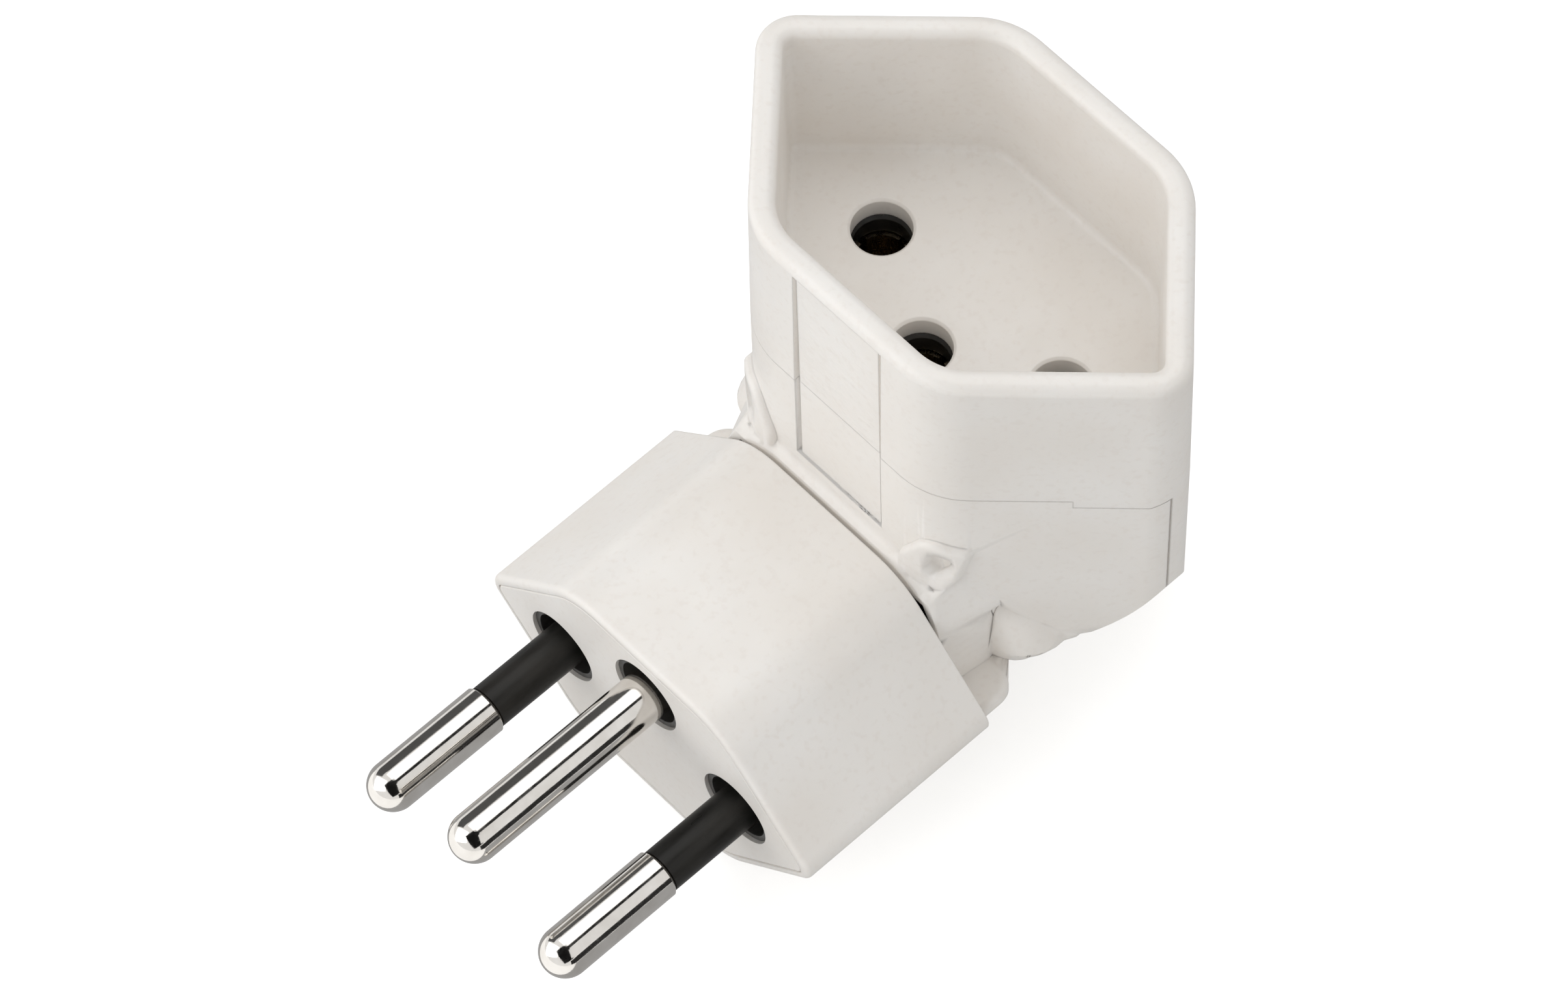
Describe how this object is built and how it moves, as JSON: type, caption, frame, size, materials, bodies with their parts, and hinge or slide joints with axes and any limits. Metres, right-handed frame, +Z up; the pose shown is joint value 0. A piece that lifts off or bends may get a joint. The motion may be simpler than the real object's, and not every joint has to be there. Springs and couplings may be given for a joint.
{
  "type": "angled plug adapter",
  "caption": "Right-angle adapter: a flat lens-shaped three-pin plug turned through ninety degrees into a deep six-sided recessed socket for a plug of the same pattern.",
  "frame": {"origin": "middle of the plug's pin face, half way between the live and the neutral pin", "axes": "+X across the plug from the live pin to the neutral pin, -Y along the free ends of the pins, +Z up out of the socket's mouth"},
  "size_m": [0.043, 0.0658, 0.0473],
  "materials": {
    "plug_shell": "satin",
    "pin_face_plate": "satin",
    "pin_carrier": "satin",
    "live_pin": "polished",
    "neutral_pin": "polished",
    "earth_pin": "polished",
    "live_pin_sleeve": "satin",
    "neutral_pin_sleeve": "satin",
    "lower_shell": "satin",
    "socket_collar": "satin",
    "contact_carrier": "satin",
    "strip_tray": "satin",
    "live_contact": "bright",
    "neutral_contact": "bright",
    "earth_contact": "bright",
    "live_contact_spring": "bright",
    "neutral_contact_spring": "bright",
    "earth_contact_spring": "bright",
    "live_strip": "bright",
    "neutral_strip": "bright",
    "earth_strip": "bright"
  },
  "bodies": {
    "root": {"plug_shell": "plug_shell", "pin_face_plate": "pin_face_plate", "pin_carrier": "pin_carrier", "live_pin": "live_pin", "neutral_pin": "neutral_pin", "earth_pin": "earth_pin", "live_pin_sleeve": "live_pin_sleeve", "neutral_pin_sleeve": "neutral_pin_sleeve", "lower_shell": "lower_shell", "socket_collar": "socket_collar", "contact_carrier": "contact_carrier", "strip_tray": "strip_tray", "live_contact": "live_contact", "neutral_contact": "neutral_contact", "earth_contact": "earth_contact", "live_contact_spring": "live_contact_spring", "neutral_contact_spring": "neutral_contact_spring", "earth_contact_spring": "earth_contact_spring", "live_strip": "live_strip", "neutral_strip": "neutral_strip", "earth_strip": "earth_strip"}
  },
  "joints": []
}
